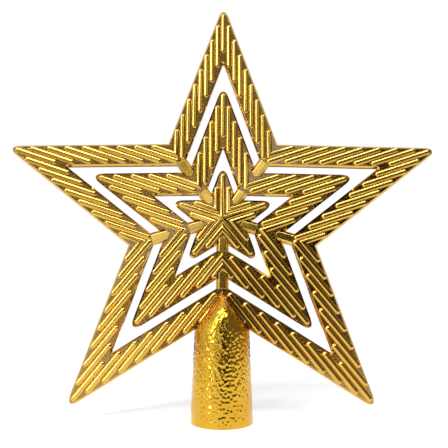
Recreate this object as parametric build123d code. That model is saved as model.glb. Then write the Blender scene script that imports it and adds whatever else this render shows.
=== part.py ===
# Five-point tree topper star: three flat stars one inside another, held together by ten
# short tie bars, on a round tapered socket that slips over the tip of a tree.
# Millimetres. The origin is the centre of the socket's mouth, +Z runs up the socket, and
# the star stands in the XZ plane with its front towards -Y.

from build123d import *

import os
from math import atan2, cos, radians, sin, tan

# Stars, seen from the front. Each star is drawn round the one inside it.
SIDE_ARM_TURN = 71.45     # degrees from the top arm to a side arm
LEG_TURN = 141.06         # degrees from the top arm to a leg, so the legs stand apart
CENTRE_REACH = 27.05      # centre to the sharp corner of the centre star's arm, before rounding
CENTRE_NOTCH = 11.0       # centre to the corner between its top arm and a side arm
CENTRE_GAP = 2.42         # clear gap between the centre and the inner star
INNER_BAR = 10.9          # width of the inner star's bars
RING_GAP = 3.56           # clear gap between the inner and the outer star
OUTER_BAR = 10.52         # width of the outer star's bars
TIP_ROUND = 2.0           # radius of the arm tips
WINDOW_ROUND = 0.8        # radius in the corners of the star-shaped windows
LEG_LIFT = 4.5            # sharp corners of the two legs above the socket's mouth

# Stars, in thickness
PLATE = 3.4               # thickness between the two ribbed faces
EDGE_BEVEL = 0.8          # bevel round every edge of both faces
RIB_PITCH = 2.74
RIB_WIDTH = 2.5
RIB_CROWN = 0.9           # width of a rib's top
RIB_HEIGHT = 0.8
RIB_MARGIN = 0.2          # from the bevel to a rib's end
RIB_SHORTEST = 2.5        # a shorter rib is left out
RIB_ROOT = 0.1            # depth of a rib's foot inside the plate

# Tie bars
TIE_PLACES = ("upper_right", "lower_right", "bottom", "lower_left", "upper_left")
TIE_WIDTH = 5.6
TIE_FLAT = 3.0            # width of the flat top between the two sloping sides
TIE_SIDE = 1.6            # thickness left at the foot of the sloping sides
TIE_PROUD = 0.3           # height above the plates' faces
TIE_LAP = 2.4             # how far the pointed end reaches past a notch
TENON_LENGTH = 2.5
TENON_SHOULDER = 1.3      # tie bar left each side of the tenon
TENON_SKIN = 0.9          # plate left above and below the tenon
GLUE_GAP = 0.05           # all round every glued seat

# Socket
MOUTH_RADIUS = 13.6       # outside, at the mouth
TAPER = 1.4               # how much less the outside radius is where the pointed cap begins
RIM_WALL = 1.3            # wall at the mouth
SOCKET_WALL = 1.6         # wall at the shoulder
FLARE_LENGTH = 8.0        # height of the funnel inside the mouth
ROOF = 2.2                # plastic left above the blind bore, below the shoulder
CAP_RISE = 8.9            # top of the cap above the notch that it holds
CAP_TIP = 0.6             # half width of the cap's top, seen from the front
CAP_CREST = 2.6           # half depth of the cap's top, front to back
CAP_FULLNESS = 2.5        # how late the dome draws in, front and back; 1 is a straight slope
CAP_SECTIONS = 5
RIM_ROUND = 0.4

# Angles and places that follow from the sizes
ARM_TURNS = (0, SIDE_ARM_TURN, LEG_TURN, 360 - LEG_TURN, 360 - SIDE_ARM_TURN)
ARMS = len(ARM_TURNS)
HALF_GAPS = [
    (ARM_TURNS[(number + 1) % ARMS] - ARM_TURNS[number]) % 360 / 2
    for number in range(ARMS)
]
TOP_GAP = radians(HALF_GAPS[0])
LEG_GAP = radians(180 - LEG_TURN)
ARM_ANGLE = atan2(
    CENTRE_NOTCH * sin(TOP_GAP),
    CENTRE_REACH - CENTRE_NOTCH * cos(TOP_GAP),
)
CENTRE_EDGE = CENTRE_REACH * sin(ARM_ANGLE)
INNER_WINDOW = CENTRE_EDGE + CENTRE_GAP
INNER_EDGE = INNER_WINDOW + INNER_BAR
OUTER_WINDOW = INNER_EDGE + RING_GAP
OUTER_EDGE = OUTER_WINDOW + OUTER_BAR
STAR_REACH = OUTER_EDGE / sin(ARM_ANGLE)
STAR_HEIGHT = LEG_LIFT + STAR_REACH * cos(LEG_GAP)
SADDLE_SLOPE = LEG_GAP + ARM_ANGLE
SADDLE = STAR_HEIGHT - OUTER_EDGE / sin(SADDLE_SLOPE)
SHOULDER_RADIUS = MOUTH_RADIUS - TAPER
SHOULDER = SADDLE - SHOULDER_RADIUS / tan(SADDLE_SLOPE)
CAP_TOP = SADDLE + CAP_RISE
BORE_RADIUS = SHOULDER_RADIUS - SOCKET_WALL
BORE_TOP = SHOULDER - ROOF
TENON_WIDTH = TIE_WIDTH - 2 * TENON_SHOULDER
TENON_THICKNESS = PLATE - 2 * TENON_SKIN
THROUGH = 10 * PLATE


def reach(edge):
    """Distance from the centre to the sharp tips of the star whose sides lie at edge."""
    return edge / sin(ARM_ANGLE)


def notch(edge, half_gap):
    """Distance from the centre to the notch halfway between two arms of that star."""
    return edge / sin(half_gap + ARM_ANGLE)


def gaps_beside(number):
    """Half angles between an arm and the arms to its left and right."""
    return radians(HALF_GAPS[number - 1]), radians(HALF_GAPS[number])


def stand_up(shape):
    """Turn a shape drawn flat, front up, into the upright star."""
    return Pos(0, 0, STAR_HEIGHT) * (Plane.XZ.location * shape)


def star_face(edge, corner_round):
    """Flat star with its top arm along +Y and rounded tips."""
    corners = []
    for turn, half_gap in zip(ARM_TURNS, HALF_GAPS):
        tip = radians(turn)
        corner = radians(turn + half_gap)
        depth = notch(edge, radians(half_gap))
        corners.append((reach(edge) * sin(tip), reach(edge) * cos(tip)))
        corners.append((depth * sin(corner), depth * cos(corner)))
    face = make_face(Polyline(corners, close=True))
    tips = face.vertices().sort_by(lambda vertex: Vector(*vertex).length)[-ARMS:]
    return fillet(tips, corner_round)


def bevelled_plate(face):
    """Plate with the same bevel round every edge, front and back."""
    plate = extrude(face, PLATE / 2, both=True)
    flats = plate.faces().filter_by(Axis.Z)
    return chamfer(flats.edges(), EDGE_BEVEL)


def along_arm(offset, edge):
    """Height on the arm along +Y where a line at this offset meets a side of the star."""
    return (edge - abs(offset) * cos(ARM_ANGLE)) / sin(ARM_ANGLE)


def mitre(offset, gaps):
    """Height on the arm along +Y where a line at this offset meets the mitre on its side."""
    left_gap, right_gap = gaps
    return abs(offset) / tan(right_gap if offset > 0 else left_gap)


def rib_outline(offset, half_width, top, bottom, level, gaps):
    """Outline of a rib at one level; with no bottom the rib ends on the mitre."""
    left = offset - half_width
    right = offset + half_width
    outline = [(right, top, level), (offset, top + half_width, level), (left, top, level)]
    if bottom is not None:
        outline.append((left, bottom, level))
        outline.append((offset, bottom - half_width, level))
        outline.append((right, bottom, level))
        return Wire.make_polygon(outline, close=True)
    outline.append((left, mitre(left, gaps), level))
    if offset == 0:
        outline.append((0, 0, level))
    outline.append((right, mitre(right, gaps), level))
    return Wire.make_polygon(outline, close=True)


def arm_ribs(edge, window, gaps):
    """Ribs of one arm, all parallel to its axis, on the front face."""
    inset = EDGE_BEVEL + RIB_MARGIN + RIB_WIDTH / 2
    count = int(notch(edge, max(gaps)) / RIB_PITCH)
    ribs = []
    for number in range(-count, count + 1):
        offset = number * RIB_PITCH
        foot_end = offset + RIB_WIDTH / 2 if number > 0 else offset - RIB_WIDTH / 2
        top = along_arm(offset, edge - inset)
        bottom = along_arm(offset, window + inset) if window else 0
        meeting = mitre(foot_end, gaps)
        if top - max(bottom, meeting) < RIB_SHORTEST:
            continue
        end = bottom if bottom > meeting else None
        foot = rib_outline(offset, RIB_WIDTH / 2, top, end, PLATE / 2 - RIB_ROOT, gaps)
        crown = rib_outline(offset, RIB_CROWN / 2, top, end, PLATE / 2 + RIB_HEIGHT, gaps)
        ribs.append(Solid.make_loft([foot, crown], ruled=True))
    return ribs


def arm_sector(gaps):
    """Front half of the space of the arm along +Y, out to the mitres on both sides of it."""
    left_gap, right_gap = gaps
    side = 2 * STAR_REACH
    left = (-side * sin(left_gap), side * cos(left_gap))
    right = (side * sin(right_gap), side * cos(right_gap))
    return extrude(make_face(Polyline((0, 0), right, left, close=True)), PLATE)


def ribbed_star(plate, edge, window=None):
    """Plate with ribs on both faces: the front of each arm, mirrored to the back."""
    arms = []
    for number, turn in enumerate(ARM_TURNS):
        gaps = gaps_beside(number)
        place = Rot(0, 0, -turn)
        front = plate & (place * arm_sector(gaps))
        front = front.fuse(*[place * rib for rib in arm_ribs(edge, window, gaps)])
        arms.append(front.fuse(front.mirror(Plane.XY)))
    return arms[0].fuse(*arms[1:])


def tie_place(number):
    """Turns a tie bar drawn along +X into the gap that follows an arm, clockwise."""
    return Rot(0, 0, 90 - ARM_TURNS[number] - HALF_GAPS[number])


def tie_ends(number, inner_edge, outer_edge):
    """Start and end of a tie bar, and the length of its pointed end."""
    half_gap = radians(HALF_GAPS[number])
    point = TIE_WIDTH / 2 / tan(half_gap + ARM_ANGLE)
    start = notch(inner_edge, half_gap) - TIE_LAP
    end = notch(outer_edge, half_gap) + point
    return start, end, point


def tie_body(start, end, point, clearance=0.0):
    """Tie bar along +X: pointed in the inner star's notch, square at the outer corner."""
    half_width = TIE_WIDTH / 2 + clearance
    start = start - clearance
    end = end + clearance
    plan = Polyline(
        (start, 0),
        (start + point, half_width),
        (end, half_width),
        (end, -half_width),
        (start + point, -half_width),
        close=True,
    )
    return extrude(make_face(plan), THROUGH, both=True)


def tie_section():
    """Cross-section with a flat top, two sloping sides and a thin edge, front and back."""
    top = PLATE / 2 + TIE_PROUD
    quarter = [(TIE_FLAT / 2, top), (TIE_WIDTH / 2, TIE_SIDE / 2)]
    right = quarter + [(x, -y) for x, y in reversed(quarter)]
    left = [(-x, y) for x, y in reversed(right)]
    return make_face(Polyline(*right, *left, close=True))


def tenons(start, end, clearance=0.0):
    """Tongue that runs the length of a tie bar and out past both of its ends."""
    length = end - start + 2 * TENON_LENGTH + 2 * clearance
    width = TENON_WIDTH + 2 * clearance
    thickness = TENON_THICKNESS + 2 * clearance
    return Pos((start + end) / 2, 0, 0) * Box(length, width, thickness)


def tie_bar(number, inner_edge, outer_edge):
    start, end, point = tie_ends(number, inner_edge, outer_edge)
    bar = Pos(start, 0, 0) * extrude(Plane.YZ * tie_section(), end - start)
    bar = bar & tie_body(start, end, point)
    return tie_place(number) * (bar + tenons(start, end))


def tie_seats(inner_edge, outer_edge):
    """Seats and mortises of all the tie bars of one ring, cut with glue clearance."""
    seats = []
    for number in range(ARMS):
        start, end, point = tie_ends(number, inner_edge, outer_edge)
        seat = tie_body(start, end, point, GLUE_GAP) + tenons(start, end, GLUE_GAP)
        seats.append(tie_place(number) * seat)
    return seats


def socket_profile(clearance=0.0):
    """One side of the socket's outline, from its mouth to the top of its pointed cap."""
    return [
        (MOUTH_RADIUS + clearance, 0),
        (SHOULDER_RADIUS + clearance, SHOULDER),
        (CAP_TIP + clearance, CAP_TOP + clearance),
    ]


def cap_section(share):
    """Front half of the cap's section: as wide as the gable, as deep as the dome."""
    half_width = SHOULDER_RADIUS + share * (CAP_TIP - SHOULDER_RADIUS)
    half_depth = SHOULDER_RADIUS + share ** CAP_FULLNESS * (CAP_CREST - SHOULDER_RADIUS)
    front = EllipticalCenterArc((0, 0), half_width, half_depth, start_angle=180, arc_size=180)
    middle = Line(front @ 1, front @ 0)
    height = SHOULDER + share * (CAP_TOP - SHOULDER)
    return Pos(0, 0, height) * make_face([front, middle])


def socket_cap():
    """Cap with straight sides up to a point from the front, and a dome from the side."""
    sections = [cap_section(step / CAP_SECTIONS) for step in range(CAP_SECTIONS + 1)]
    front = loft(sections)
    return front + front.mirror(Plane.XZ)


def socket_barrel():
    profile = Polyline(
        (0, 0),
        (MOUTH_RADIUS, 0),
        (SHOULDER_RADIUS, SHOULDER),
        (0, SHOULDER),
        close=True,
    )
    return revolve(Plane.XZ * make_face(profile), Axis.Z)


def socket_bore():
    """Blind bore with a straight land above a funnel mouth."""
    profile = Polyline(
        (0, 0),
        (MOUTH_RADIUS - RIM_WALL, 0),
        (BORE_RADIUS, FLARE_LENGTH),
        (BORE_RADIUS, BORE_TOP),
        (0, BORE_TOP),
        close=True,
    )
    return revolve(Plane.XZ * make_face(profile), Axis.Z)


def star_slot(clearance=0.0):
    """Slot for the outer star, with a floor that follows the notch between its legs."""
    side = 2 * MOUTH_RADIUS
    floor = SADDLE - clearance
    ceiling = SADDLE + 2 * CAP_RISE
    fall = side / tan(SADDLE_SLOPE)
    plan = Polyline(
        (0, floor),
        (side, floor - fall),
        (side, ceiling),
        (-side, ceiling),
        (-side, floor - fall),
        close=True,
    )
    return extrude(Plane.XZ * make_face(plan), PLATE / 2 + clearance, both=True)


def rib_clearance():
    """Straight cut that ends the ribs at the socket's outline and leaves the plate whole."""
    right = socket_profile(GLUE_GAP)
    left = [(-x, z) for x, z in reversed(right)]
    outline = make_face(Polyline(*right, *left, close=True))
    return extrude(Plane.XZ * outline, THROUGH, both=True) - star_slot()


def socket_cone():
    cone = socket_barrel() + socket_cap() - socket_bore() - star_slot(GLUE_GAP)
    rim = cone.edges().filter_by(GeomType.CIRCLE).group_by(Axis.Z)[0]
    return fillet(rim, RIM_ROUND)


def outer_star():
    face = star_face(OUTER_EDGE, TIP_ROUND) - star_face(OUTER_WINDOW, WINDOW_ROUND)
    star = ribbed_star(bevelled_plate(face), OUTER_EDGE, OUTER_WINDOW)
    star = star.cut(*tie_seats(INNER_EDGE, OUTER_WINDOW))
    return stand_up(star) - rib_clearance()


def inner_star():
    face = star_face(INNER_EDGE, TIP_ROUND) - star_face(INNER_WINDOW, WINDOW_ROUND)
    star = ribbed_star(bevelled_plate(face), INNER_EDGE, INNER_WINDOW)
    seats = tie_seats(INNER_EDGE, OUTER_WINDOW) + tie_seats(CENTRE_EDGE, INNER_WINDOW)
    return stand_up(star.cut(*seats))


def centre_star():
    star = ribbed_star(bevelled_plate(star_face(CENTRE_EDGE, TIP_ROUND)), CENTRE_EDGE)
    return stand_up(star.cut(*tie_seats(CENTRE_EDGE, INNER_WINDOW)))


def all_parts():
    parts = {
        "outer_star": outer_star(),
        "inner_star": inner_star(),
        "centre_star": centre_star(),
        "socket_cone": socket_cone(),
    }
    for number, place in enumerate(TIE_PLACES):
        outer_tie = tie_bar(number, INNER_EDGE, OUTER_WINDOW)
        inner_tie = tie_bar(number, CENTRE_EDGE, INNER_WINDOW)
        parts["outer_tie_" + place] = stand_up(outer_tie)
        parts["inner_tie_" + place] = stand_up(inner_tie)
    return parts


os.makedirs("parts", exist_ok=True)
for name, shape in all_parts().items():
    export_step(shape, "parts/" + name + ".step")
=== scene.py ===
from math import atan2, cos, pi, radians, sin, tan

import bmesh
import bpy
from mathutils import Euler, Matrix, Vector


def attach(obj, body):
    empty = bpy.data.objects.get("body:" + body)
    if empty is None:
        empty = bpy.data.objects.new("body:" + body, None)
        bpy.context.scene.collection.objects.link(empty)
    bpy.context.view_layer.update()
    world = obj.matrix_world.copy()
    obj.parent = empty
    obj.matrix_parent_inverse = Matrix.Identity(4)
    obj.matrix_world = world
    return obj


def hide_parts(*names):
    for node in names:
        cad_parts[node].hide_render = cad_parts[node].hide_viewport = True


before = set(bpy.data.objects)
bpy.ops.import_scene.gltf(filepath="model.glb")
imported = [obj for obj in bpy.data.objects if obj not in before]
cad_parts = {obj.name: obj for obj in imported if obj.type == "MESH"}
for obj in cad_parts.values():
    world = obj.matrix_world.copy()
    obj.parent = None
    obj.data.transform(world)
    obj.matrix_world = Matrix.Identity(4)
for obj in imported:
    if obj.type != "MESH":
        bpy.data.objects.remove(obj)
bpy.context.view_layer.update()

scene = bpy.context.scene
scene.view_settings.view_transform = "Standard"

# Pieces are modelled in millimetres and brought to metres when they are finished.
# The star stands in the XZ plane with its front towards -Y, on the socket's mouth at z = 0.


# Camera
cameraSet = {
    "place": (0.28, -218.0, 50.77),     # mm, close to the star and below its middle
    "lens": 38.24,
    "tiltUp": 9.461,                    # degrees
    "turnRight": 0.379,
    "roll": 0.218,
    "shift": -0.0045,
    "sensor": 36,
    "nearest": 0.01,                    # m
}

bpy.ops.object.select_all(action="DESELECT")
bpy.ops.object.camera_add(
    location=[v / 1000 for v in cameraSet["place"]],
    rotation=[radians(v) for v in (
        90 + cameraSet["tiltUp"], -cameraSet["roll"], -cameraSet["turnRight"])],
)
camera = bpy.context.object
camera.name = "photoCamera"
camera.data.sensor_width = cameraSet["sensor"]
camera.data.lens = cameraSet["lens"]
camera.data.shift_x = cameraSet["shift"]
camera.data.clip_start = cameraSet["nearest"]
camera.data.dof.use_dof = False
scene.camera = camera
print("camera set")


# Small helpers
touch = 0.001                           # mm, nearer than this counts as touching
facing = 0.9                            # share of a normal along an axis that counts as facing it
clean = {
    "merge": 0.002,                     # mm
    "sliver": 0.001,
}


def only(obj):
    bpy.ops.object.select_all(action="DESELECT")
    obj.select_set(True)
    bpy.context.view_layer.objects.active = obj


def openMesh(obj):
    only(obj)
    bpy.ops.object.mode_set(mode="EDIT")


def closeMesh():
    bpy.ops.object.mode_set(mode="OBJECT")


def pickVerts(obj, test):               # edit mode: select vertices by their place
    bpy.ops.mesh.select_mode(type="VERT")
    bpy.ops.mesh.select_all(action="DESELECT")
    mesh = bmesh.from_edit_mesh(obj.data)
    for vert in mesh.verts:
        vert.select = test(vert.co)
    mesh.select_flush_mode()
    bmesh.update_edit_mesh(obj.data)


def pickEdges(obj, test):               # edit mode: select edges by their own test
    bpy.ops.mesh.select_mode(type="EDGE")
    bpy.ops.mesh.select_all(action="DESELECT")
    mesh = bmesh.from_edit_mesh(obj.data)
    for edge in mesh.edges:
        edge.select = test(edge)
    mesh.select_flush_mode()
    bmesh.update_edit_mesh(obj.data)


def pickFaces(obj, test):               # edit mode: select faces by their place or normal
    bpy.ops.mesh.select_mode(type="FACE")
    bpy.ops.mesh.select_all(action="DESELECT")
    mesh = bmesh.from_edit_mesh(obj.data)
    mesh.normal_update()
    for face in mesh.faces:
        face.select = test(face)
    mesh.select_flush_mode()
    bmesh.update_edit_mesh(obj.data)


def applyPlace(obj):
    only(obj)
    bpy.ops.object.transform_apply(location=True, rotation=True, scale=True)


def joinAll(objects):
    bpy.ops.object.select_all(action="DESELECT")
    for obj in objects:
        obj.select_set(True)
    bpy.context.view_layer.objects.active = objects[0]
    if len(objects) > 1:
        bpy.ops.object.join()
    return bpy.context.object


def turnedCopy(obj, angle):             # own mesh, turned clockwise about the star's middle
    twin = obj.copy()
    twin.data = obj.data.copy()
    scene.collection.objects.link(twin)
    middle = Vector((0, 0, star["height"]))
    turn = Matrix.Rotation(angle, 4, "Y")
    twin.data.transform(Matrix.Translation(middle) @ turn @ Matrix.Translation(-middle))
    return twin


def backCopy(obj):                      # own mesh, mirrored to the star's back
    twin = obj.copy()
    twin.data = obj.data.copy()
    scene.collection.objects.link(twin)
    twin.data.transform(Matrix.Scale(-1, 4, (0, 1, 0)))
    twin.data.flip_normals()
    return twin


def combine(obj, tool, operation):      # boolean, then the tool is thrown away
    only(obj)
    step = obj.modifiers.new(operation.lower(), "BOOLEAN")
    step.operation = operation
    step.object = tool
    step.solver = "MANIFOLD"
    bpy.ops.object.modifier_apply(modifier=step.name)
    bpy.data.objects.remove(tool)


def finishMesh(obj, smoothAngle):       # merge, point outwards, smooth, bring to metres
    openMesh(obj)
    bpy.ops.mesh.select_all(action="SELECT")
    bpy.ops.mesh.remove_doubles(threshold=clean["merge"])
    bpy.ops.mesh.dissolve_degenerate(threshold=clean["sliver"])
    bpy.ops.mesh.normals_make_consistent(inside=False)
    closeMesh()
    only(obj)
    bpy.ops.object.shade_smooth_by_angle(angle=radians(smoothAngle))
    even = obj.modifiers.new("evenNormals", "WEIGHTED_NORMAL")     # flats stay flat beside bevels
    even.keep_sharp = True
    bpy.ops.object.modifier_apply(modifier=even.name)
    obj.scale = (0.001, 0.001, 0.001)
    applyPlace(obj)


# Star sizes, mm, as in the solids but for sharper window corners
star = {
    "turns": (0, 71.45, 141.06, 218.94, 288.55),        # degrees clockwise from the top, legs splayed
    "centreReach": 27.05,
    "centreNotch": 11.0,
    "centreGap": 2.42,
    "innerBar": 10.9,
    "ringGap": 3.56,
    "outerBar": 10.52,
    "tipRound": 7.2,                    # length of side that a rounded tip takes
    "windowRound": 1.0,                 # and a window's corner
    "roundSteps": 6,
    "cornerPick": 0.5,                  # around a corner that is moved
    "tipPick": 0.9,                     # share of the reach past which a corner is a tip
    "legLift": 4.5,                     # from the mouth's rim to the legs' points before rounding
    "plate": 3.4,
    "edgeBevel": 0.8,
    "bevelSteps": 1,
    "seatGap": 0.05,
    "smoothAngle": 40,                  # degrees
}
armTurns = [radians(turn) for turn in star["turns"]]
halfGaps = [(after - turn) / 2 for turn, after in zip(armTurns, armTurns[1:] + [2 * pi])]
armAngle = atan2(
    star["centreNotch"] * sin(halfGaps[0]),
    star["centreReach"] - star["centreNotch"] * cos(halfGaps[0]),
)
legGap = halfGaps[2]
star["centreEdge"] = star["centreReach"] * sin(armAngle)
star["innerWindow"] = star["centreEdge"] + star["centreGap"]
star["innerEdge"] = star["innerWindow"] + star["innerBar"]
star["outerWindow"] = star["innerEdge"] + star["ringGap"]
star["outerEdge"] = star["outerWindow"] + star["outerBar"]
star["height"] = star["legLift"] + star["outerEdge"] / sin(armAngle) * cos(legGap)
face = star["plate"] / 2


def reach(edge):
    return edge / sin(armAngle)


def notch(edge, halfGap):
    return edge / sin(halfGap + armAngle)


def starPoint(turn, far):
    return Vector((far * sin(turn), 0, star["height"] + far * cos(turn)))


def starFlat(edge, tipRound):           # a ten-sided disc with its corners moved to their places
    bpy.ops.object.select_all(action="DESELECT")
    bpy.ops.mesh.primitive_circle_add(
        vertices=2 * len(armTurns), radius=reach(edge), fill_type="NGON",
        location=(0, 0, star["height"]), rotation=(radians(90), 0, 0),
    )
    flat = bpy.context.object
    applyPlace(flat)
    openMesh(flat)
    for number, (turn, halfGap) in enumerate(zip(armTurns, halfGaps)):
        tip = 2 * number
        places = {tip: starPoint(turn, reach(edge)),
                  tip + 1: starPoint(turn + halfGap, notch(edge, halfGap))}
        for corner, place in places.items():
            start = starPoint(corner * pi / len(armTurns), reach(edge))
            pickVerts(flat, lambda co: (co - start).length < star["cornerPick"])
            bpy.ops.transform.translate(value=place - start)
    pickVerts(flat, lambda co: (co - starPoint(0, 0)).length > star["tipPick"] * reach(edge))
    bpy.ops.mesh.bevel(
        offset=tipRound, segments=star["roundSteps"], profile=0.5, affect="VERTICES",
    )
    closeMesh()
    return flat


def starPlate(name, edge, window=None):
    plate = starFlat(edge, star["tipRound"])
    if window:
        plate = joinAll([plate, starFlat(window, star["windowRound"])])
        openMesh(plate)
        bpy.ops.mesh.select_all(action="SELECT")
        bpy.ops.mesh.delete(type="ONLY_FACE")
        bpy.ops.mesh.select_mode(type="EDGE")
        bpy.ops.mesh.select_all(action="SELECT")
        bpy.ops.mesh.bridge_edge_loops()
        closeMesh()
    plate.name = name
    openMesh(plate)
    bpy.ops.mesh.select_all(action="SELECT")
    bpy.ops.transform.translate(value=(0, -face, 0))
    bpy.ops.mesh.extrude_region_move(TRANSFORM_OT_translate={"value": (0, star["plate"], 0)})
    bpy.ops.mesh.select_all(action="SELECT")
    bpy.ops.mesh.normals_make_consistent(inside=False)

    def isRim(edge):                    # between a flat and a side wall
        along = [abs(f.normal.y) for f in edge.link_faces]
        return len(along) == 2 and max(along) > facing and min(along) < 1 - facing

    pickEdges(plate, isRim)
    bpy.ops.mesh.bevel(
        offset=star["edgeBevel"], segments=star["bevelSteps"], affect="EDGES", loop_slide=False,
    )
    closeMesh()
    return plate


# Half-round rods on both faces of the stars
rod = {
    "pitch": 2.74,
    "width": 2.68,
    "height": 0.88,
    "margin": -0.1,                     # from the window's bevel to a rod's end, below 0 over the bevel
    "outerMargin": -0.35,               # from the outer bevel
    "shortest": 2.5,
    "tipRoom": 0.5,                     # from a star's rounded tip to the rod that points to it
    "around": 12,
    "rings": 5,
    "sink": 0.05,
    "overlap": 0.01,                    # past the mitre, so that neighbours fuse
    "spare": 3,                         # rod widths below the mitre, to be cut off
}


def oneRod():                           # a flattened ball, to be pulled out along an arm
    bpy.ops.object.select_all(action="DESELECT")
    middleRing = cos(pi / 2 / rod["rings"])             # the two middle rings carry the full width
    bpy.ops.mesh.primitive_uv_sphere_add(
        segments=rod["around"], ring_count=rod["rings"], radius=rod["width"] / 2 / middleRing,
    )
    ball = bpy.context.object
    openMesh(ball)
    pickEdges(ball, lambda e: e.verts[0].co.z * e.verts[1].co.z < 0)
    bpy.ops.mesh.subdivide(number_cuts=2)               # keeps the shading straight along the rod
    closeMesh()
    ball.scale.y = 2 * rod["height"] / rod["width"]
    applyPlace(ball)
    return ball


rodMaster = oneRod()


def placedRod(offset, low, high):       # own mesh, stretched from one height to another
    twin = rodMaster.copy()
    twin.data = rodMaster.data.copy()
    scene.collection.objects.link(twin)
    for vert in twin.data.vertices:
        if vert.co.z > 0:
            vert.co.z += high - low
    twin.data.transform(Matrix.Translation((offset, rod["sink"] - face, star["height"] + low)))
    return twin


def roundedTip(edge):
    return reach(edge) - star["tipRound"] * tan(armAngle) * (1 / sin(armAngle) - 1)


def alongArm(offset, edge):             # height above the star's middle where a line meets a side
    return (edge - offset * cos(armAngle)) / sin(armAngle)


def armRods(edge, window, gaps):        # rods of an upright arm, front face, cut on its two mitres
    half = rod["width"] / 2
    inset = star["edgeBevel"] + rod["margin"] + half
    outerInset = star["edgeBevel"] + rod["outerMargin"] + half
    highest = roundedTip(edge) - rod["tipRoom"] - half
    rods = []
    for side, gap in gaps.items():
        last = int(notch(edge, gap) * sin(gap) / rod["pitch"])
        for number in range(0 if side > 0 else 1, last + 1):
            offset = number * rod["pitch"]
            high = min(alongArm(offset, edge - outerInset), highest)
            mitre = (offset + half) / tan(gap)
            low = alongArm(offset, window + inset) if window else 0
            if high - max(low, mitre) < rod["shortest"]:
                continue
            low = low if low > mitre else mitre - rod["spare"] * rod["width"]
            rods.append(placedRod(side * offset, low, high))
    rods = joinAll(rods)
    openMesh(rods)
    for side, gap in gaps.items():
        bpy.ops.mesh.select_mode(type="VERT")
        bpy.ops.mesh.select_all(action="SELECT")
        normal = Vector((side * cos(gap), 0, -sin(gap)))
        bpy.ops.mesh.bisect(
            plane_co=starPoint(0, 0) + normal * rod["overlap"],
            plane_no=normal, use_fill=True, clear_outer=True,
        )
    closeMesh()
    return rods


def addRods(plate, edge, window=None):
    for number, turn in enumerate(armTurns):
        upright = armRods(edge, window, {1: halfGaps[number], -1: halfGaps[number - 1]})
        front = turnedCopy(upright, turn)
        combine(plate, joinAll([front, backCopy(front)]), "UNION")
        bpy.data.objects.remove(upright)


# Tie bars between the stars
tie = {
    "places": ("UpperRight", "LowerRight", "Bottom", "LowerLeft", "UpperLeft"),
    "width": 5.6,
    "flat": 3.0,                        # flat top between the sloping sides
    "side": 1.6,                        # thickness at the foot of the sloping sides
    "proud": 0.3,
    "lap": 2.4,                         # pointed end past the notch
    "edgeRound": 0.18,
    "edgeSteps": 3,
    "seatDepth": 34.0,                  # cutter's, clear through a star and its rods
    "smoothAngle": 40,
}


def tieBlock(ends, halfGap, gap, width, depth):         # upright block below the star's middle
    point = tie["width"] / 2 / tan(halfGap + armAngle)
    start = notch(ends[0], halfGap) - tie["lap"] - gap
    end = notch(ends[1], halfGap) + point + gap
    bpy.ops.object.select_all(action="DESELECT")
    bpy.ops.mesh.primitive_cube_add(
        size=1, location=(0, 0, star["height"] - (start + end) / 2),
        scale=(width, depth, end - start),
    )
    block = bpy.context.object
    applyPlace(block)
    return block, star["height"] - start


def pointEnd(block, top, slope):        # two cuts make the pointed end
    openMesh(block)
    for side in (1, -1):
        bpy.ops.mesh.select_mode(type="VERT")
        bpy.ops.mesh.select_all(action="SELECT")
        bpy.ops.mesh.bisect(
            plane_co=(0, 0, top), plane_no=(side * cos(slope), 0, sin(slope)),
            use_fill=True, clear_outer=True,
        )
    closeMesh()


def tieBar(ends, halfGap):
    bar, top = tieBlock(ends, halfGap, 0, tie["width"], tie["side"])
    rise = face + tie["proud"] - tie["side"] / 2
    openMesh(bar)
    for side in (1, -1):                # front and back: pull the flat out and draw it in
        pickFaces(bar, lambda f: f.normal.y * side > facing)
        bpy.ops.mesh.extrude_region_move(TRANSFORM_OT_translate={"value": (0, side * rise, 0)})
        bpy.ops.transform.resize(
            value=(tie["flat"] / tie["width"], 1, 1),
            center_override=(0, side * (face + tie["proud"]), 0),
        )
    closeMesh()
    pointEnd(bar, top, halfGap + armAngle)
    only(bar)
    soft = bar.modifiers.new("edges", "BEVEL")
    soft.width = tie["edgeRound"]
    soft.segments = tie["edgeSteps"]
    soft.limit_method = "ANGLE"
    bpy.ops.object.modifier_apply(modifier=soft.name)
    return bar


def tieSeats(ends):                     # cutters for the seats of one ring's bars
    width = tie["width"] + 2 * star["seatGap"]
    seats = []
    for turn, halfGap in zip(armTurns, halfGaps):
        seat, top = tieBlock(ends, halfGap, star["seatGap"], width, tie["seatDepth"])
        pointEnd(seat, top, halfGap + armAngle)
        seats.append(turnedCopy(seat, turn + halfGap - pi))
        bpy.data.objects.remove(seat)
    return joinAll(seats)


outerTie = (star["innerEdge"], star["outerWindow"])
innerTie = (star["centreEdge"], star["innerWindow"])


# Socket
socket = {
    "mouth": 13.6,
    "taper": 1.4,
    "rimWall": 1.3,
    "boreWall": 1.6,
    "flare": 8.0,
    "roof": 2.2,
    "capRise": 8.9,
    "capTip": 0.6,                      # half width at the top, seen from the front
    "capCrest": 2.6,                    # half depth at the top, seen from the side
    "capFullness": 2.5,
    "around": 320,
    "barrelRows": 140,
    "capRows": 56,
    "grain": 1.25,                      # mm across a dimple
    "grainDepth": 0.3,
    "plainRim": 0.9,                    # height of the plain band at the mouth
    "rimRound": 0.3,
    "rimSteps": 3,
    "rimPick": 0.01,                    # height that counts as on the rim
    "clearDepth": 10.0,                 # of the slabs that keep the rods off the cap
    "smoothAngle": 50,
}
saddleSlope = legGap + armAngle
saddle = star["height"] - notch(star["outerEdge"], legGap)
socket["shoulderRadius"] = socket["mouth"] - socket["taper"]
shoulder = saddle - socket["shoulderRadius"] / tan(saddleSlope)
capTop = saddle + socket["capRise"]


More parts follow.
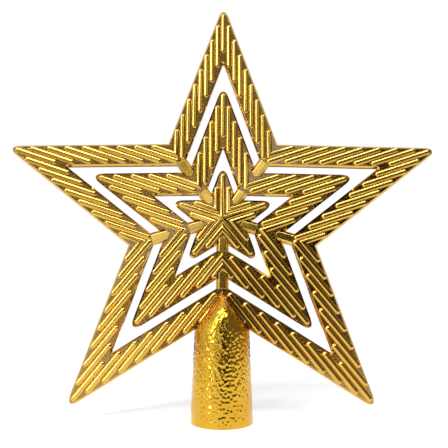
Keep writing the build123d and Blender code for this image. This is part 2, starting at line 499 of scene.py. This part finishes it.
def starSlot(gap):                      # block in the shape of the outer star's notch
    side = 2 * socket["mouth"]
    bpy.ops.object.select_all(action="DESELECT")
    bpy.ops.mesh.primitive_cube_add(
        size=1, location=(0, 0, saddle), scale=(2 * side, star["plate"] + 2 * gap, 2 * side),
    )
    block = bpy.context.object
    applyPlace(block)
    openMesh(block)
    bpy.ops.mesh.select_all(action="SELECT")
    bpy.ops.mesh.bisect(plane_co=(0, 0, 0), plane_no=(1, 0, 0))
    pickVerts(block, lambda co: co.z < saddle and abs(co.x) < touch)
    bpy.ops.transform.translate(value=(0, 0, side - gap))
    pickVerts(block, lambda co: co.z < saddle - 2 * gap - touch)
    bpy.ops.transform.translate(value=(0, 0, side - gap - side / tan(saddleSlope)))
    closeMesh()
    return block


def rodClearance():                     # the socket's outline, in front of and behind the plate
    slabs = []
    away = face + socket["clearDepth"] / 2 + touch
    for side in (1, -1):
        bpy.ops.object.select_all(action="DESELECT")
        bpy.ops.mesh.primitive_cube_add(
            size=1, location=(0, side * away, shoulder / 2),
            scale=(2 * socket["shoulderRadius"], socket["clearDepth"], shoulder),
        )
        slab = bpy.context.object
        applyPlace(slab)
        openMesh(slab)
        pickFaces(slab, lambda f: f.normal.z > facing)
        bpy.ops.mesh.extrude_region_move(
            TRANSFORM_OT_translate={"value": (0, 0, capTop - shoulder)},
        )
        bpy.ops.transform.resize(
            value=(socket["capTip"] / socket["shoulderRadius"], 1, 1), center_override=(0, 0, 0),
        )
        closeMesh()
        slabs.append(slab)
    return joinAll(slabs)


def capHalves(share):                   # the cap's half width and half depth at a share of its height
    wide = socket["shoulderRadius"]
    return (wide + share * (socket["capTip"] - wide),
            wide + share ** socket["capFullness"] * (socket["capCrest"] - wide))


def socketCone():
    bpy.ops.object.select_all(action="DESELECT")
    bpy.ops.mesh.primitive_cone_add(
        vertices=socket["around"], radius1=socket["mouth"], radius2=socket["shoulderRadius"],
        depth=shoulder, location=(0, 0, shoulder / 2), end_fill_type="NGON",
    )
    cone = bpy.context.object
    applyPlace(cone)
    openMesh(cone)
    pickEdges(cone, lambda e: abs(e.verts[0].co.z - e.verts[1].co.z) > touch)
    bpy.ops.mesh.subdivide(number_cuts=socket["barrelRows"])
    pickFaces(cone, lambda f: f.normal.z > facing)      # cap: a V from the front, domed from the side
    before = capHalves(0)
    for row in range(1, socket["capRows"] + 1):
        halves = capHalves(row / socket["capRows"])
        bpy.ops.mesh.extrude_region_move(
            TRANSFORM_OT_translate={"value": (0, 0, (capTop - shoulder) / socket["capRows"])},
        )
        bpy.ops.transform.resize(
            value=(halves[0] / before[0], halves[1] / before[1], 1), center_override=(0, 0, 0),
        )
        before = halves
    closeMesh()

    grainGroup = cone.vertex_groups.new(name="grain")   # plain near the mouth's rim
    for vert in cone.data.vertices:
        weight = min(max((vert.co.z - socket["plainRim"]) / socket["plainRim"], 0), 1)
        grainGroup.add([vert.index], weight, "REPLACE")
    dimples = bpy.data.textures.new("hammerDimples", "VORONOI")
    dimples.noise_scale = socket["grain"]
    dimples.distance_metric = "DISTANCE"
    only(cone)
    hammer = cone.modifiers.new("hammered", "DISPLACE")
    hammer.texture = dimples
    hammer.texture_coords = "LOCAL"
    hammer.vertex_group = "grain"
    hammer.strength = socket["grainDepth"]
    hammer.mid_level = 0.5
    bpy.ops.object.modifier_apply(modifier=hammer.name)

    openMesh(cone)
    pickFaces(cone, lambda f: f.normal.z < -facing and f.calc_center_median().z < socket["rimPick"])
    bpy.ops.mesh.inset(thickness=socket["rimWall"])     # rim, funnel and blind bore
    boreRadius = socket["shoulderRadius"] - socket["boreWall"]
    narrow = boreRadius / (socket["mouth"] - socket["rimWall"])
    bpy.ops.mesh.extrude_region_move(TRANSFORM_OT_translate={"value": (0, 0, socket["flare"])})
    bpy.ops.transform.resize(value=(narrow, narrow, 1), center_override=(0, 0, 0))
    bpy.ops.mesh.extrude_region_move(
        TRANSFORM_OT_translate={"value": (0, 0, shoulder - socket["roof"] - socket["flare"])},
    )
    pickEdges(cone, lambda e: all(abs(v.co.z) < socket["rimPick"] for v in e.verts)
              and e.calc_length() < socket["rimWall"] / 2 and len(e.link_faces) == 2)    # not across the rim
    bpy.ops.mesh.bevel(
        offset=socket["rimRound"], segments=socket["rimSteps"], profile=0.5, affect="EDGES",
    )
    closeMesh()
    combine(cone, starSlot(star["seatGap"]), "DIFFERENCE")
    return cone


# Materials: vacuum-metallised polystyrene, that is bright aluminium film under a gold lacquer.
# It mirrors the room in gold, with white glints from the lacquer's own gloss.

def hexColour(text):                    # sRGB hex to linear
    parts = [int(text[i:i + 2], 16) / 255 for i in (1, 3, 5)]
    linear = [c / 12.92 if c <= 0.04045 else ((c + 0.055) / 1.055) ** 2.4 for c in parts]
    return (*linear, 1)


def addNode(tree, kind, settings=None, inputs=None):
    node = tree.nodes.new(kind)
    for name, value in (settings or {}).items():
        setattr(node, name, value)
    for name, value in (inputs or {}).items():
        if isinstance(value, bpy.types.NodeSocket):
            tree.links.new(value, node.inputs[name])
        else:
            node.inputs[name].default_value = value
    return node


goldFinishes = {
    "ribbedGold": {
        "light": "#D6A832", "deep": "#BC8C20", "rough": (0.06, 0.12), "peel": 0.04, "coat": 1.0,
        "shadedGround": {"colour": "#986E1C", "rough": 0.12, "peel": 0.6},    # the flat skin beside the rods; its darker colour is painted shade between the rods
    },
    "smoothGold": {
        "light": "#DAB042", "deep": "#C4982E", "rough": (0.16, 0.22), "peel": 0.10, "coat": 0.6,
    },
    "hammeredGold": {
        "light": "#D8A830", "deep": "#C4901C", "rough": (0.10, 0.18), "peel": 0.06, "coat": 0.2,
    },
}
skin = {
    "peelSize": 0.9,                    # mm, waviness of the moulded skin
    "peelDepth": 0.2,
    "cloudSize": 14.0,                  # mm, patches where the film is thicker or thinner
    "cloudRange": (0.3, 0.7),           # stretch of the noise that the roughness follows
    "lacquerRough": 0.04,
    "groundBand": 0.02,                 # mm from the plate's face that counts as ground
}


def groundMask(tree, place):            # 1 on the plate's two faces, 0 on what stands out or falls away; it also places the ground's painted shade
    depth = addNode(tree, "ShaderNodeSeparateXYZ", None, {0: place}).outputs["Y"]
    fromMiddle = addNode(tree, "ShaderNodeMath", {"operation": "ABSOLUTE"}, {0: depth})
    onFace = addNode(tree, "ShaderNodeMath", {"operation": "COMPARE"},
                     {0: fromMiddle.outputs[0], 1: face / 1000, 2: skin["groundBand"] / 1000})
    return onFace.outputs[0]


def goldMaterial(name):
    finish = goldFinishes[name]
    material = bpy.data.materials.new(name)
    material.use_nodes = True
    tree = material.node_tree
    shader = tree.nodes["Principled BSDF"]
    place = addNode(tree, "ShaderNodeTexCoord").outputs["Object"]
    clouds = addNode(tree, "ShaderNodeTexNoise", None,
                     {"Vector": place, "Scale": 1000 / skin["cloudSize"], "Detail": 3.0})
    film = addNode(tree, "ShaderNodeMix", {"data_type": "RGBA"}, {
        "Factor": clouds.outputs["Fac"],
        6: hexColour(finish["light"]), 7: hexColour(finish["deep"])})
    colour = film.outputs[2]
    peel = addNode(tree, "ShaderNodeTexNoise", None,
                   {"Vector": place, "Scale": 1000 / skin["peelSize"], "Detail": 2.0})
    rough = addNode(tree, "ShaderNodeMapRange", None, {
        "Value": clouds.outputs["Fac"],
        "From Min": skin["cloudRange"][0], "From Max": skin["cloudRange"][1],
        "To Min": finish["rough"][0], "To Max": finish["rough"][1]}).outputs["Result"]
    bump = addNode(tree, "ShaderNodeBump", None, {
        "Height": peel.outputs["Fac"], "Strength": finish["peel"],
        "Distance": skin["peelDepth"] / 1000})
    shader.inputs["Metallic"].default_value = 1.0
    shader.inputs["Coat Weight"].default_value = finish["coat"]
    shader.inputs["Coat Roughness"].default_value = skin["lacquerRough"]
    if "shadedGround" in finish:              # wavier than the rods, and darker in colour: painted shade between the rods
        shadedGround = finish["shadedGround"]
        onGround = groundMask(tree, place)
        rough = addNode(tree, "ShaderNodeMix", {"data_type": "FLOAT"},
                        {0: onGround, 2: rough, 3: shadedGround["rough"]}).outputs[0]
        # painted shade: the ground between the rods takes the darker colour
        colour = addNode(tree, "ShaderNodeMix", {"data_type": "RGBA"},
                         {0: onGround, 6: colour, 7: hexColour(shadedGround["colour"])}).outputs[2]
        wavy = addNode(tree, "ShaderNodeMix", {"data_type": "FLOAT"},
                       {0: onGround, 2: finish["peel"], 3: shadedGround["peel"]})
        tree.links.new(wavy.outputs[0], bump.inputs["Strength"])
        tree.links.new(rough, shader.inputs["Coat Roughness"])
    tree.links.new(rough, shader.inputs["Roughness"])
    tree.links.new(colour, shader.inputs["Base Color"])
    tree.links.new(bump.outputs["Normal"], shader.inputs["Normal"])
    return material


ribbedGold = goldMaterial("ribbedGold")
smoothGold = goldMaterial("smoothGold")
hammeredGold = goldMaterial("hammeredGold")
print("materials made")


def settle(piece, name, node, material, smoothAngle):
    finishMesh(piece, smoothAngle)
    piece.name = name
    piece.data.name = name
    piece.data.materials.clear()
    piece.data.materials.append(material)
    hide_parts(node)
    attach(piece, "root")


# Build the pieces
outerStar = starPlate("outerStar", star["outerEdge"], star["outerWindow"])
addRods(outerStar, star["outerEdge"], star["outerWindow"])
combine(outerStar, tieSeats(outerTie), "DIFFERENCE")
combine(outerStar, rodClearance(), "DIFFERENCE")
settle(outerStar, "outerStar", "outer_star", ribbedGold, star["smoothAngle"])
print("outer star built")

innerStar = starPlate("innerStar", star["innerEdge"], star["innerWindow"])
addRods(innerStar, star["innerEdge"], star["innerWindow"])
combine(innerStar, tieSeats(outerTie), "DIFFERENCE")
combine(innerStar, tieSeats(innerTie), "DIFFERENCE")
settle(innerStar, "innerStar", "inner_star", ribbedGold, star["smoothAngle"])
print("inner star built")

centreStar = starPlate("centreStar", star["centreEdge"])
addRods(centreStar, star["centreEdge"])
combine(centreStar, tieSeats(innerTie), "DIFFERENCE")
settle(centreStar, "centreStar", "centre_star", ribbedGold, star["smoothAngle"])
bpy.data.objects.remove(rodMaster)
print("centre star built")

for ring, ends in (("outer", outerTie), ("inner", innerTie)):
    for turn, halfGap, place in zip(armTurns, halfGaps, tie["places"]):
        upright = tieBar(ends, halfGap)
        bar = turnedCopy(upright, turn + halfGap - pi)
        bpy.data.objects.remove(upright)
        words = "".join("_" + c.lower() if c.isupper() else c for c in place)
        settle(bar, ring + "Tie" + place, ring + "_tie" + words, smoothGold,
               tie["smoothAngle"])
print("tie bars built")

socketPiece = socketCone()
settle(socketPiece, "socketCone", "socket_cone", hammeredGold,
       socket["smoothAngle"])
print("socket built")


# Floor, light and background
stage = {
    "floorSize": 6.0,
    "floorDrop": 0.0002,                # m below the socket's rim
    "floorColour": "#F4F4F2",
    "floorRough": 0.9,
    "floorGlow": 0.42,                  # near the object, so that its shadow stays light
    "fadeFrom": 0.25,                   # m from the object, where the floor starts to fade to white
    "fadeTo": 0.7,
    "worldLevel": 0.4,                  # for ordinary rays
    "whiteLevel": 1.0,                  # for the eye and the metal
}


def studioLevel(tree):                  # white to the eye and the metal, dimmer to ordinary rays
    rays = addNode(tree, "ShaderNodeLightPath")
    eye = addNode(tree, "ShaderNodeMath", {"operation": "MAXIMUM"},
                  {0: rays.outputs["Is Camera Ray"], 1: rays.outputs["Is Glossy Ray"]})
    both = addNode(tree, "ShaderNodeMath", {"operation": "MAXIMUM"},
                   {0: eye.outputs[0], 1: rays.outputs["Is Transmission Ray"]})
    level = addNode(tree, "ShaderNodeMapRange", None, {
        "Value": both.outputs[0], "To Min": stage["worldLevel"], "To Max": stage["whiteLevel"]})
    return level.outputs["Result"]


bpy.ops.object.select_all(action="DESELECT")
bpy.ops.mesh.primitive_plane_add(size=stage["floorSize"], location=(0, 0, -stage["floorDrop"]))
floor = bpy.context.object
floor.name = "floor"
floorPaper = bpy.data.materials.new("floorPaper")
floorPaper.use_nodes = True
tree = floorPaper.node_tree
paper = tree.nodes["Principled BSDF"]
paper.inputs["Base Color"].default_value = hexColour(stage["floorColour"])
paper.inputs["Roughness"].default_value = stage["floorRough"]
paper.inputs["Specular IOR Level"].default_value = 0.0
paper.inputs["Emission Color"].default_value = (1, 1, 1, 1)
paper.inputs["Emission Strength"].default_value = stage["floorGlow"]
glow = addNode(tree, "ShaderNodeEmission", None, {"Strength": studioLevel(tree)})
place = addNode(tree, "ShaderNodeTexCoord").outputs["Object"]
away = addNode(tree, "ShaderNodeVectorMath", {"operation": "LENGTH"}, {0: place})
fade = addNode(tree, "ShaderNodeMapRange", {"interpolation_type": "SMOOTHSTEP"}, {
    "Value": away.outputs["Value"], "From Min": stage["fadeFrom"], "From Max": stage["fadeTo"]})
sweep = addNode(tree, "ShaderNodeMixShader", None,
                {0: fade.outputs["Result"], 1: paper.outputs[0], 2: glow.outputs[0]})
tree.links.new(sweep.outputs[0], tree.nodes["Material Output"].inputs["Surface"])
floor.data.materials.append(floorPaper)

# A rolled strip softbox behind the camera with a black and a grey card under it, softboxes to the left,
# above and behind the star, and cards of several tones around it. Only the metal sees the cards.
panel = {
    "aimPoint": (0, 0, 0.09),           # m, near the star's middle
    "azimuth": 3.0,                     # degrees right of the star's front, the rolled pieces' middle
    "elevation": 5.5,
    "roll": 34.8,
    "far": 1.5,                         # m
}
rolledLamps = {                         # across and up from that middle, then size, as shares of far
    "edgeLamp": {"at": (0.10, 0.15), "size": (1.50, 0.09), "level": 2.2},
}
rolledCards = {
    "blackCard": {"at": (0.145, -0.325), "size": (1.22, 0.86), "level": 0.02},
    "greyCard": {"at": (0.2, -0.4), "size": (2.0, 1.0), "level": 0.45, "behind": 0.05},
}
looseCards = {
    "frontMat": {"place": (0.16, -0.6, 0.0005), "size": (0.48, 0.8), "turn": (0, 0, 0), "level": 0.1},
    "leftSheet": {"place": (-0.42, -0.45, 0.0005), "size": (0.5, 0.8), "turn": (0, 0, 0), "level": 0.6},
    "rearMat": {"place": (0, 0.44, 0.0005), "size": (1.2, 0.38), "turn": (0, 0, 0), "level": 0.2},
    "frontCard": {"place": (-0.5, -1.8, 1.1), "size": (3.0, 2.2), "turn": (90, 0, 0), "level": 0.36},
    "backCard": {"place": (0, 1.0, 0.7), "size": (3.0, 1.4), "turn": (90, 0, 0), "level": 0.8},
    "rightCard": {"place": (0.75, -0.62, 0.6), "size": (1.5, 1.2), "turn": (90, 0, 90), "level": 0.2},
}
looseLamps = {
    "sideLamp": {"place": (-1.178, -0.92, 0.22), "size": (0.40, 0.5), "level": 1.3},
    "highLamp": {"place": (-0.486, -1.145, 0.929), "size": (0.40, 0.40), "level": 6.0},
    "tallLamp": {"place": (-0.878, -1.065, 0.676), "size": (0.17, 1.18), "level": 20.0},
    "topLamp": {"place": (0, -0.964, 1.239), "size": (1.4, 0.17), "level": 20.0},
    "backLamp": {"place": (0.55, 0.9, 0.7), "size": (0.6, 0.6), "level": 2.0},
}
lampColour = "#DCE8FF"                  # daylight tubes, a little cool
aimPoint = Vector(panel["aimPoint"])
aim = (Matrix.Translation(aimPoint)
       @ Matrix.Rotation(radians(panel["azimuth"]), 4, "Z")
       @ Matrix.Rotation(radians(90 - panel["elevation"]), 4, "X")
       @ Matrix.Rotation(radians(panel["roll"]), 4, "Z"))


def softbox(name, size, level, matrix):
    bpy.ops.object.light_add(type="AREA")
    box = bpy.context.object
    box.name = name
    box.matrix_world = matrix
    box.data.shape = "RECTANGLE"
    box.data.size, box.data.size_y = size
    box.data.energy = level * pi * size[0] * size[1]    # watts for that brightness over its face
    box.data.color = hexColour(lampColour)[:3]
    box.visible_camera = False


def metalCard(name, size, level, matrix):
    bpy.ops.object.select_all(action="DESELECT")
    bpy.ops.mesh.primitive_plane_add(size=1)
    sheet = bpy.context.object
    sheet.name = name
    sheet.matrix_world = matrix @ Matrix.Diagonal((*size, 1, 1))
    sheet.visible_camera = False
    sheet.visible_diffuse = False
    sheet.visible_shadow = False
    sheet.visible_transmission = False
    paper = bpy.data.materials.new(name)
    paper.use_nodes = True
    tree = paper.node_tree
    tone = addNode(tree, "ShaderNodeEmission", None, {"Strength": level})
    tree.links.new(tone.outputs[0], tree.nodes["Material Output"].inputs["Surface"])
    sheet.data.materials.append(paper)


for pieces, make in ((rolledLamps, softbox), (rolledCards, metalCard)):
    for name, piece in pieces.items():
        across, up = (share * panel["far"] for share in piece["at"])
        make(name, [share * panel["far"] for share in piece["size"]], piece["level"],
             aim @ Matrix.Translation((across, up, panel["far"] + piece.get("behind", 0))))
for name, lamp in looseLamps.items():
    turn = (aimPoint - Vector(lamp["place"])).to_track_quat("-Z", "Y").to_matrix().to_4x4()
    softbox(name, lamp["size"], lamp["level"], Matrix.Translation(lamp["place"]) @ turn)
for name, card in looseCards.items():
    turn = Euler([radians(v) for v in card["turn"]]).to_matrix().to_4x4()
    metalCard(name, card["size"], card["level"], Matrix.Translation(card["place"]) @ turn)

world = bpy.data.worlds.new("studio")
scene.world = world
world.use_nodes = True
tree = world.node_tree
background = tree.nodes["Background"]
tree.links.new(studioLevel(tree), background.inputs["Strength"])
background.inputs["Color"].default_value = (1, 1, 1, 1)
print("stage set")
